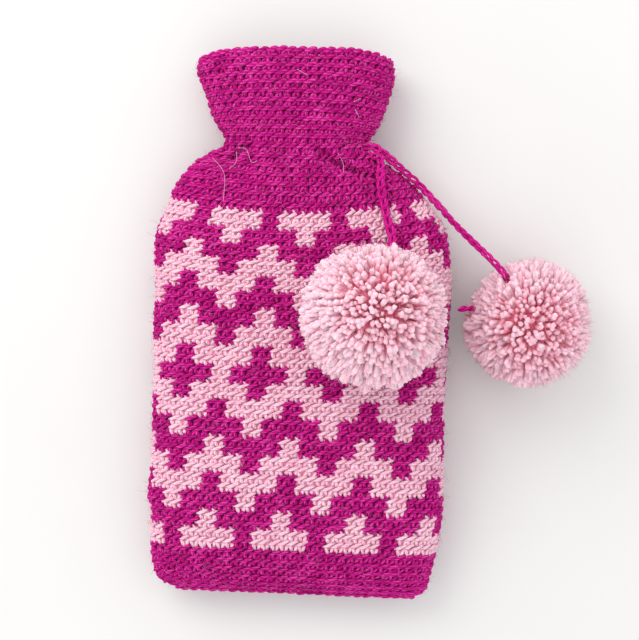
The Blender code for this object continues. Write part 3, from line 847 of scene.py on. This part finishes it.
def laid_yarn(stitches, across, up, lift, radius, sides, rng):
    """Tubes that follow one path in every stitch: across in stitches, up in rows, lift and radius
    in millimetres, with each stitch a little uneven."""
    size = (len(stitches.row), 1)
    shift = rng.normal(0.0, OFF_ACROSS, size)
    rise = rng.normal(0.0, OFF_UP, size)
    loose = 1.0 + rng.normal(0.0, OFF_SIZE, size)
    proud = rng.normal(0.0, OFF_OUT, size)
    rows = stitches.row[:, None] + rise + up * loose
    rounds = stitches.round[:, None] + (across * loose + shift) / stitches.count[:, None]
    points, outward = on_cloth(rows, rounds)
    points = points + outward * (lift + proud)[..., None]
    # Yarn beyond the first or the last row goes straight on
    beyond = np.maximum(rows - TOP_ROW, 0.0) + np.minimum(rows, 0.0)
    points[..., 1] += beyond * ROW_HEIGHT
    radii = np.broadcast_to(radius, rows.shape) * (1.0 + rng.normal(0.0, OFF_YARN, size))
    return Tubes(points, outward, radii, sides, rough=YARN_ROUGH)


def ridge(stitches, rng, thick):
    """The loops along a row's top: each starts over the last one, rises to the right and dips under
    the next."""
    t = np.linspace(-1.0, 1.0, 6)
    dip = np.where(t < 0, 0.95, 2.0)
    return laid_yarn(
        stitches,
        across=0.73 * t,
        up=0.02 + 0.19 * t + 0.06 * np.sin(np.pi * t),
        lift=-0.75 - dip * np.abs(t) ** 2.6,
        radius=RIDGE_RADIUS * thick * (1 - 0.42 * np.abs(t) ** 2.4),
        sides=6,
        rng=rng,
    )


def posts(stitches, rng):
    """The two legs of each stitch's post, which stand in a V under the ridge."""
    radius = POST_RADIUS * np.array(LEG_SHAPE)
    return [laid_yarn(stitches, *np.array(leg), radius, 5, rng) for leg in LEGS]


def stitch_runs(stitches, seed, thick):
    rng = np.random.default_rng(seed)
    return [ridge(stitches, rng, thick), *posts(stitches, rng)]


def tick_runs(stitches, seed):
    """Where the colour changes above a stitch, its yarn shows as a short slanting tick."""
    rng = np.random.default_rng(seed)
    changing = chosen(stitches, stitches.pink != stitches.pink_above)
    tick = laid_yarn(
        changing,
        across=np.array([0.08, 0.26, 0.42]),
        up=np.array([0.52, 0.36, 0.16]),
        lift=np.array([-1.5, -0.9, -1.2]),
        radius=np.array([0.55, 0.82, 0.70]),
        sides=5,
        rng=rng,
    )
    return [tick]


def inside_runs(stitches, seed):
    """The wrong side of the collar: a bar along each row."""
    rng = np.random.default_rng(seed)
    t = np.linspace(-1.0, 1.0, 5)
    bar = laid_yarn(
        stitches,
        across=0.6 * t,
        up=-0.16 * t,
        lift=-INNER_DEPTH - 0.5 + 0.8 * np.abs(t) ** 3,
        radius=1.15 * (1 - 0.35 * np.abs(t) ** 2.6),
        sides=5,
        rng=rng,
    )
    return [bar]


def rim_runs(seed):
    """The last round: a thick chain that lies on the rim, one strand of it outside and one inside,
    with small holes under its links."""
    rng = np.random.default_rng(seed)
    rim = stitches_in([TOP_ROW])
    t = np.linspace(-1.0, 1.0, 7)
    runs = []
    for strand in RIM_STRANDS:
        yarn = laid_yarn(
            rim,
            across=0.66 * t,
            up=strand.up + strand.slant * t + 0.07 * np.sin(np.pi * t),
            lift=strand.lift - 1.1 * np.abs(t) ** 2.6,
            radius=RIM_RADIUS * (1 - 0.46 * np.abs(t) ** 2.2),
            sides=6,
            rng=rng,
        )
        runs.append(yarn)
    return [*runs, *posts(rim, rng)]


def band_faces(low, high):
    """Faces that join a ring to the one over it, seen from outside."""
    corners = zip(low, low[1:] + low[:1], high[1:] + high[:1], high)
    return [list(face) for face in corners]


def closing_faces(first, columns):
    """Closes a flattened ring: front columns are joined to the back columns under them."""
    quarter = columns // 4
    half = columns // 2
    faces = []
    for k in range(-quarter, quarter):
        corners = [half - k, half - k - 1, k + 1, k]
        faces.append(list(dict.fromkeys(first + corner % columns for corner in corners)))
    return faces


def cloth_shell(magenta_inside_painted_shade, pink_inside):
    """The cloth that the stitches stand on, seen only in the gaps between them and in the mouth.
    Under magenta stitches its wool is darker than the yarn: painted shade in the gaps.
    """
    columns = GROUND_COLUMNS
    where = np.arange(columns) / columns
    points = []
    rings = []
    for skin in SKINS:
        starts = []
        for row in np.arange(skin.first, GROUND_LAST_ROW + skin.step / 2, skin.step):
            starts.append(len(points))
            ring, outward = on_cloth(np.full(columns, row), where)
            ring = ring - outward * skin.depth
            ring[:, 2] = np.maximum(ring[:, 2], skin.depth - GROUND_SINK)
            points += ring.tolist()
        rings.append([list(range(start, start + columns)) for start in starts])
    outer, inner = rings
    faces = []
    inside = []
    for i, (low, high) in enumerate(zip(outer, outer[1:])):
        row = int(SKINS[0].first + (i + 0.5) * SKINS[0].step + GROUND_UNDER)
        count = stitches_round(row)
        position = ((where + 0.5 / columns) * count - from_table(row, DRIFT)) % count
        faces += band_faces(low, high)
        inside += is_pink(row, position).astype(int).tolist()
    for low, high in zip(inner, inner[1:]):
        faces += band_faces(high, low)
    faces += band_faces(outer[-1], inner[-1])
    faces += closing_faces(outer[0][0], columns)
    faces += [face[::-1] for face in closing_faces(inner[0][0], columns)]
    materials = [magenta_inside_painted_shade, pink_inside]
    shell = mesh_piece("crochet_cloth", points, faces, materials, "magenta_wool")
    inside += [0] * (len(faces) - len(inside))
    shell.data.polygons.foreach_set("material_index", inside)
    return shell


# The chain cord

# Roll is how far it is turned over at its start and turns how much more at its end, in whole turns.
# Wide and yarn are its width and its yarn's thickness against the link's own.
Chain = namedtuple("Chain", "name route roll turns wide yarn seed")


def route_frames(points):
    """Side and up ways along a route, carried on from its start without twist."""
    ups = [np.array(UP)]
    forward = unit(np.gradient(points, axis=0))
    for way in forward:
        up = ups[-1] - way * ups[-1].dot(way)
        ups.append(up / np.linalg.norm(up))
    up = np.array(ups[1:])
    return np.cross(forward, up), up


def chain_runs(chain):
    """Links of crochet chain along a route, in millimetres: each is a loop drawn through the one
    before it, with a bar on its back. The chain turns over slowly on its way, as a limp one does."""
    rng = np.random.default_rng(chain.seed)
    fine = smooth_route(chain.route, 0.5)
    along = distance_along(fine)
    side, up = route_frames(fine)
    twist = 2 * np.pi * (chain.roll + chain.turns * along / along[-1])
    cosine, sine = np.cos(twist)[:, None], np.sin(twist)[:, None]
    side, up = side * cosine + up * sine, up * cosine - side * sine
    links = max(2, round(along[-1] / LINK))
    step = along[-1] / links
    back = [(on, -aside, over) for on, aside, over in LINK_LOOP[::-1]]
    runs = []
    for stops in (np.array(LINK_LOOP + back), np.array(LINK_BAR)):
        starts = np.arange(links)[:, None] * step + rng.normal(0.0, LINK_OFF, (links, 1))
        where = np.clip(starts + stops[:, 0] * step, 0.0, along[-1])
        middle, aside, over = [
            np.stack([np.interp(where, along, values[:, i]) for i in range(3)], axis=-1)
            for values in (fine, side, up)
        ]
        wide = chain.wide * stops[:, 1] * (1.0 + rng.normal(0.0, LINK_OFF_WIDTH, (links, 1)))
        points = middle + aside * wide[..., None] + over * stops[:, 2][:, None]
        uneven = 1.0 + rng.normal(0.0, OFF_YARN, (links, 1))
        radii = np.full(where.shape, LINK_YARN * chain.yarn) * uneven
        radii[:, [0, -1]] *= LINK_END
        runs.append(Tubes(points, unit(over), radii, 6, YARN_ROUGH))
    return runs


def twisted_runs(route, seed):
    """The cord's cut end: two strands that lie round each other, blunt at the end."""
    rng = np.random.default_rng(seed)
    fine = smooth_route(route, 1.2)
    along = distance_along(fine)
    side, up = route_frames(fine)
    runs = []
    for start in (0.0, np.pi):
        turn = start + 2 * np.pi * along / TAIL_LAY
        aside = side * np.cos(turn)[:, None] + up * np.sin(turn)[:, None]
        points = fine + TAIL_STRAND_ASIDE * aside
        radii = np.full(len(fine), TAIL_STRAND_RADIUS) * (1.0 + rng.normal(0.0, 0.03, len(fine)))
        radii[-2:] *= TAIL_TIP
        runs.append(Tubes(points[None], up[None], radii[None], 7, YARN_ROUGH))
    return runs


def millimetres(points):
    return [tuple(value / MM for value in point) for point in points]


def stub_point(pompom, way, reach):
    return tuple(Vector(pompom.centre) + Vector(way).normalized() * reach)


def tie_route(route, pompom):
    """A tie's route in millimetres, with its straight way in between the pompom's strands."""
    ends = [stub_point(pompom, pompom.cord_ways[0], CORE_STUB + out) for out in CORD_WAY_IN]
    return millimetres(route) + ends


def tail_route():
    """The tail leaves the small pompom on its left and bends a little as it lies down."""
    reaches = np.linspace(*TAIL_REACH, len(TAIL_BEND))
    points = [stub_point(POMPOM_SMALL, TAIL_WAY, reach) for reach in reaches]
    return [(x, y + bend, z) for (x, y, z), bend in zip(points, TAIL_BEND)]


def neck_route():
    """The drawstring's hidden stretch: from the eyelet, round the inside of the neck and back."""
    places, flat, _ = section_outline(NECK_CORD_ROW, NECK_CORD_INSET)
    where = np.linspace(*NECK_CORD_ROUND, NECK_CORD_PLACES) % 1.0
    x = np.interp(where, places, flat[:, 0])
    z = np.interp(where, places, flat[:, 1])
    ring = np.stack([x, row_y(NECK_CORD_ROW, x), z], axis=1)
    return [*NECK_END_LONG, *[tuple(point) for point in ring], *NECK_END_SHORT]


def build_cords(wool):
    """The two ties, the tail past the small pompom and the drawstring inside the neck."""
    chains = [
        Chain("tie_long", tie_route(LONG_ROUTE, POMPOM_SMALL), -0.07, 0.56, 1.0, 1.0, 3),
        Chain("tie_short", tie_route(SHORT_ROUTE, POMPOM_BIG), 0.02, 0.25, 1.08, 1.16, 4),
        Chain("neck_drawstring", neck_route(), 0.0, 0.0, 0.80, 1.0, 6),
    ]
    pieces = {}
    for chain in chains:
        piece = yarn_piece("chain_" + chain.name, chain_runs(chain), wool, "magenta_cord")
        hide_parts(chain.name)
        pieces[chain.name] = (piece, smooth_route(chain.route, 2.0))
    tail = yarn_piece("twisted_tail", twisted_runs(tail_route(), 5), wool, "magenta_cord")
    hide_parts("tie_tail")
    pieces["tie_tail"] = (tail, smooth_route(tail_route(), 2.0))
    return pieces


def declare_cords(cords, pompoms):
    ends = {
        "tie_long": ("fitting", pompoms["pompom_small"]),
        "tie_short": ("fitting", pompoms["pompom_big"]),
        "tie_tail": ("bare", []),
    }
    for name, (far_end, with_pieces) in ends.items():
        piece, route = cords[name]
        path = [tuple(point * MM) for point in route]
        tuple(path[0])


# The pompoms


def ball_ways(count, rng, jitter):
    """Directions spread evenly over a ball, each a little off its place."""
    turn = np.pi * (3.0 - math.sqrt(5.0)) * np.arange(count)
    z = 1.0 - (2.0 * np.arange(count) + 1.0) / count
    flat = np.sqrt(1.0 - z * z)
    ways = np.stack([flat * np.cos(turn), flat * np.sin(turn), z], axis=1)
    return unit(ways + rng.normal(0.0, jitter, ways.shape))


def height_under(cover):
    """The height of what lies under a point, in millimetres: the cover's front or the floor."""
    over_cloth = 0.8
    over_floor = 0.3
    faces = [list(polygon.vertices) for polygon in cover.data.polygons]
    skin = BVHTree.FromPolygons([vertex.co for vertex in cover.data.vertices], faces)

    def height(x, y):
        place = skin.ray_cast(Vector((x * MM, y * MM, 0.2)), Vector((0, 0, -1)))[0]
        return place.z / MM + over_cloth if place else over_floor

    return height


def ball_reach(pompom, ways):
    """How far the ball reaches on each way: it swells a little here and there, and its cord presses
    it in."""
    swells = ball_ways(SWELLS, np.random.default_rng(pompom.seed + 5), 0.3)
    uneven = (np.max(ways @ swells.T, axis=1) - SWELL_EVEN) * SWELL_RISE
    dented = np.zeros(len(ways))
    for dent in pompom.dents:
        aside = np.degrees(np.arccos(np.clip(ways @ unit(np.array(dent.way)), -1.0, 1.0)))
        dented += dent.depth * bump(aside, dent.degrees)
    return pompom.radius * (1.0 + uneven - dented)


def resting(pompom, points, height):
    """Draws points in towards the middle where they would go into what the pompom lies on."""
    centre = np.array(pompom.centre)
    for i, point in enumerate(points):
        if point[2] < centre[2]:
            floor = height(point[0], point[1]) + STRAND_RADIUS
            if point[2] < floor:
                points[i] = centre + (point - centre) * (centre[2] - floor) / (centre[2] - point[2])
    return points


def pompom_strands(pompom, height):
    """Strands of yarn from the wound middle to the ball's face. Neighbours lean together in small
    tufts, and those underneath are pressed short where the ball rests."""
    rng = np.random.default_rng(pompom.seed)
    centre = np.array(pompom.centre)
    count = pompom.strands
    ways = ball_ways(count, rng, 0.5 / math.sqrt(count))
    tufts = ball_ways(pompom.tufts, rng, 0.9 / math.sqrt(pompom.tufts))
    nearest = np.argmax(ways @ tufts.T, axis=1)
    pull = rng.uniform(*TUFT_PULL, (count, 1))
    stray = rng.normal(0.0, STRAND_STRAY, ways.shape)
    tips = unit(ways * (1 - pull) + tufts[nearest] * pull + stray)
    for way in pompom.cord_ways:
        way = unit(np.array(way))
        close = tips @ way
        aside = unit(tips - way * close[:, None])
        push = np.clip((close - CORD_GAP) / (1.0 - CORD_GAP), 0.0, 1.0)[:, None]
        tips = unit(tips + aside * push * CORD_PUSH)
    uneven = rng.normal(0.0, TUFT_OFF, pompom.tufts)[nearest]
    reach = ball_reach(pompom, tips) * (1.0 + uneven - STRAND_SHORTER * rng.random(count) ** 1.8)
    ends = resting(pompom, centre + tips * reach[:, None], height)
    # The ball is parted at its crown: away from there its strands lean out and down
    crown = unit(np.array(pompom.crown))
    lean = PARTED * np.maximum(1.0 - ways @ crown, 0.0) ** 0.7
    starts = centre + unit(ways + crown * lean[:, None]) * pompom.radius * ROOT_PART
    middle = (starts + ends) / 2 + rng.normal(0.0, 0.7, (count, 3))
    t = STRAND_STOPS[:, None]
    paths = starts[:, None] * (1 - t) ** 2 + middle[:, None] * 2 * t * (1 - t) + ends[:, None] * t**2
    radius = STRAND_RADIUS * rng.uniform(0.80, 1.20, (count, 1)) * STRAND_SHAPE
    outward = unit(np.cross(tips, rng.normal(0.0, 1.0, (count, 3))))
    outward = np.broadcast_to(outward[:, None], paths.shape)
    return Tubes(paths, outward, radius, 5, STRAND_ROUGH)


def wound_core(pompom, material, height):
    """The tight middle that the strands are tied round, a lumpy ball that shows only in gaps."""
    bpy.ops.mesh.primitive_ico_sphere_add(subdivisions=4, radius=1.0)
    made = bpy.context.object
    ways = np.array([vertex.co[:] for vertex in made.data.vertices])
    faces = [list(polygon.vertices) for polygon in made.data.polygons]
    bpy.data.objects.remove(made, do_unlink=True)
    lumps = ball_ways(CORE_LUMPS, np.random.default_rng(pompom.seed + 1), 0.05)
    hollow = np.minimum((1.0 - np.max(ways @ lumps.T, axis=1)) * 12.0, CORE_HOLLOW)
    reach = ball_reach(pompom, ways) * (CORE_PART - hollow)
    points = resting(pompom, np.array(pompom.centre) + ways * reach[:, None], height)
    return mesh_piece("core_" + pompom.name, points, faces, [material], "pink_wool")


# Loose hairs


def fibre_paths(starts, ways, lengths, rng, stops, curl):
    """Loose hairs: each starts on its way and strays from it."""
    way = ways
    paths = [starts]
    for _ in range(stops - 1):
        way = unit(way + rng.normal(0.0, curl, ways.shape))
        paths.append(paths[-1] + way * (lengths / (stops - 1))[:, None])
    return np.stack(paths, axis=1)


def pompom_fuzz(pompom, material):
    """Loose ends that stand out between the tips and soften the ball's edge."""
    rng = np.random.default_rng(pompom.seed + 2)
    ways = ball_ways(POMPOM_HAIRS, rng, 0.1)
    reach = ball_reach(pompom, ways) * rng.uniform(0.84, 0.94, POMPOM_HAIRS)
    starts = np.array(pompom.centre) + ways * reach[:, None]
    keep = starts[:, 2] > pompom.fuzz_from
    starts, ways = starts[keep], ways[keep]
    lengths = rng.uniform(3.0, 6.5, len(starts))
    paths = fibre_paths(starts, unit(ways + rng.normal(0, 0.20, ways.shape)), lengths, rng, 3, 0.16)
    outward = np.broadcast_to(unit(np.cross(ways, [0.3, 0.5, 0.8]))[:, None], paths.shape)
    radii = np.full(paths.shape[:2], LOOSE_END_RADIUS) * np.array([1.0, 0.9, 0.5])
    name = "loose_hairs_" + pompom.name
    return yarn_piece(name, [Tubes(paths, outward, radii, 3)], material, "pink_wool")


def cover_fuzz(material):
    """Loose hairs that lie over the stitches and stand a little way off the edges. Of those on the
    back, only a quarter is kept."""
    rng = np.random.default_rng(77)
    rows = rng.uniform(0.5, 61.5, COVER_HAIRS)
    rounds = rng.uniform(0.0, 1.0, COVER_HAIRS)
    kept = (rounds < 0.30) | (rounds > 0.70) | (rng.random(COVER_HAIRS) < 0.25)
    points, outward = on_cloth(rows[kept], rounds[kept])
    count = len(points)
    starts = points - outward * rng.uniform(0.0, 1.2, (count, 1))
    flat = rng.normal(0.0, 1.0, points.shape)
    flat = unit(flat - outward * np.sum(flat * outward, axis=1)[:, None])
    ways = unit(flat + outward * rng.uniform(0.0, 0.9, (count, 1)))
    lengths = rng.uniform(2.5, 8.0, count)
    paths = fibre_paths(starts, ways, lengths, rng, 4, 0.38)
    radii = np.full(paths.shape[:2], FIBRE_RADIUS) * np.array([1.0, 0.9, 0.8, 0.4])
    outward = np.broadcast_to(outward[:, None], paths.shape)
    tubes = Tubes(paths, outward, radii, 3)
    return yarn_piece("loose_hairs_cover", [tubes], material, "magenta_wool")


# Long loose hairs that caught the light on the neck and the collar: points on each, as x and y
STRAYS = [
    [(-55.0, 105.8), (-47.0, 94.6), (-47.3, 77.2)],
    [(-38.3, 111.3), (-33.3, 110.1), (-30.2, 102.0), (-26.5, 102.6)],
    [(-39.5, 108.9), (-39.5, 102.0), (-43.9, 97.7)],
    [(23.9, 107.6), (27.0, 102.0), (27.4, 95.2)],
    [(-1.4, 158.7), (5.2, 155.0)],
    [(33.7, 139.3), (38.2, 141.6)],
    [(34.5, 134.8), (37.0, 130.6)],
]


def stray_hairs(height, material):
    """The longest loose hairs, each laid over the stitches."""
    runs = []
    for points in STRAYS:
        route = smooth_route([(x, y, height(x, y)) for x, y in points], 1.5)
        route[:, 2] = [height(x, y) + STRAY_RADIUS for x, y, _ in route]
        route[1:-1, 2] = (route[:-2, 2] + route[1:-1, 2] + route[2:, 2]) / 3
        up = np.broadcast_to(np.array(UP), route.shape)
        radii = np.full(len(route), STRAY_RADIUS)
        runs.append(Tubes(route[None], up[None], radii[None], 4))
    return yarn_piece("stray_hairs", runs, material, "magenta_wool")


# Building it all


def build_camera():
    camera = bpy.data.cameras.new("photo_camera")
    camera.sensor_width = SENSOR
    camera.lens = CAMERA_LENS
    thing = bpy.data.objects.new("photo_camera", camera)
    thing.location = CAMERA_PLACE
    bpy.context.scene.collection.objects.link(thing)
    bpy.context.scene.camera = thing


def build_studio():
    """A pale floor under a soft daylight window and a bright room."""
    bpy.ops.mesh.primitive_plane_add(size=FLOOR_SIZE)
    floor = bpy.context.object
    floor.name = "floor"
    floor.data.materials.append(painted_floor())
    window = bpy.data.lights.new("soft_window", "AREA")
    window.shape = "RECTANGLE"
    window.size, window.size_y = WINDOW_SIZE
    window.energy = WINDOW_POWER
    window.color = WINDOW_COLOUR
    thing = bpy.data.objects.new("soft_window", window)
    thing.location = WINDOW_PLACE
    thing.rotation_euler = (-thing.location).to_track_quat("-Z", "Y").to_euler()
    bpy.context.scene.collection.objects.link(thing)
    world = bpy.data.worlds.new("bright_room")
    world.use_nodes = True
    room = world.node_tree.nodes["Background"]
    room.inputs["Color"].default_value = linear("#F4F6FA")
    room.inputs["Strength"].default_value = ROOM_STRENGTH
    bpy.context.scene.world = world
    bpy.context.scene.view_settings.view_transform = "Standard"


def build_cover(magenta, pink, magenta_inside_painted_shade, pink_inside):
    pieces = []
    foundation = stitches_in([0])
    base = stitches_in(range(1, FIRST_BAND_ROW))
    body = stitches_in(range(FIRST_BAND_ROW, SHOULDER_ROW))
    shoulder = stitches_in(range(SHOULDER_ROW, COLLAR_ROW))
    collar = stitches_in(range(COLLAR_ROW, int(TOP_ROW)))
    groups = [
        ("stitches_base", base, magenta, "magenta_wool", 31, 1.0),
        ("stitches_body_magenta", chosen(body, ~body.pink), magenta, "magenta_wool", 32, 1.0),
        ("stitches_body_pink", chosen(body, body.pink), pink, "pink_wool", 33, 1.0),
        ("stitches_shoulders", shoulder, magenta, "magenta_wool", 34, 1.05),
        ("stitches_collar", collar, magenta, "magenta_wool", 35, 1.13),
    ]
    for name, stitches, wool, slot, seed, thick in groups:
        pieces.append(yarn_piece(name, stitch_runs(stitches, seed, thick), wool, slot))
        if "body" in name:
            pieces.append(yarn_piece("ticks_" + name, tick_runs(stitches, seed + 50), wool, slot))
    inside = stitches_in(range(COLLAR_ROW - 2, int(TOP_ROW)))
    pieces.append(yarn_piece("collar_inside", inside_runs(inside, 36), magenta, "magenta_wool"))
    pieces.append(yarn_piece("collar_rim", rim_runs(37), magenta, "magenta_wool"))
    seam = ridge(foundation, np.random.default_rng(38), thick=0.92)
    pieces.append(yarn_piece("foundation_seam", [seam], magenta, "magenta_wool"))
    shell = cloth_shell(magenta_inside_painted_shade, pink_inside)
    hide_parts("cover")
    return shell, pieces


def build():
    build_camera()
    magenta = plied_wool("magenta_plied_wool", "#840052", "#C80684", "#F45CBC", 0.12, "#F070C0")
    pink = plied_wool("pink_plied_wool", "#EFA4BD", "#F9C6D7", "#FBDEE9", 0.18, "#FFE4EE")
    cord_wool = plied_wool("magenta_cord_wool", "#A8006A", "#D20A8A", "#F050B4", 0.13, "#F070C0")
    # The cloth under magenta stitches is darkened: painted shade for the gaps between them
    magenta_inside_painted_shade = plain_wool("magenta_wool_inside_painted_shade", "#860054")
    pink_inside = plain_wool("pink_wool_inside", "#FFAAC4")
    strand_length = POMPOM_BIG.radius * (1.0 - ROOT_PART)
    cut_ends = cut_wool("cut_pink_wool", "#FF7899", "#FCB8C8", "#FED4DF", strand_length)
    core = plain_wool("pompom_core_wool", "#FF88A6")
    magenta_hair = plain_wool("loose_magenta_hair", "#D874B0")
    pink_hair = plain_wool("loose_pink_hair", "#FBC6D4", sheen=0.12, tint="#FFE0EA")
    stray_hair = plain_wool("pale_mauve_hair", "#E4A8D0", tint="#FFFFFF")

    cords = build_cords(cord_wool)
    shell, stitches = build_cover(magenta, pink, magenta_inside_painted_shade, pink_inside)
    hairs = cover_fuzz(magenta_hair)
    height = height_under(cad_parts["cover"])
    strays = stray_hairs(height, stray_hair)
    pompoms = {}
    for ball in (POMPOM_BIG, POMPOM_SMALL):
        strands = pompom_strands(ball, height)
        piece = yarn_piece("strands_" + ball.name, [strands], cut_ends, "pink_wool")
        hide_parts(ball.name)
        middle = wound_core(ball, core, height)
        pompoms[ball.name] = [piece, middle, pompom_fuzz(ball, pink_hair)]
    declare_cords(cords, pompoms)
    build_studio()


build()
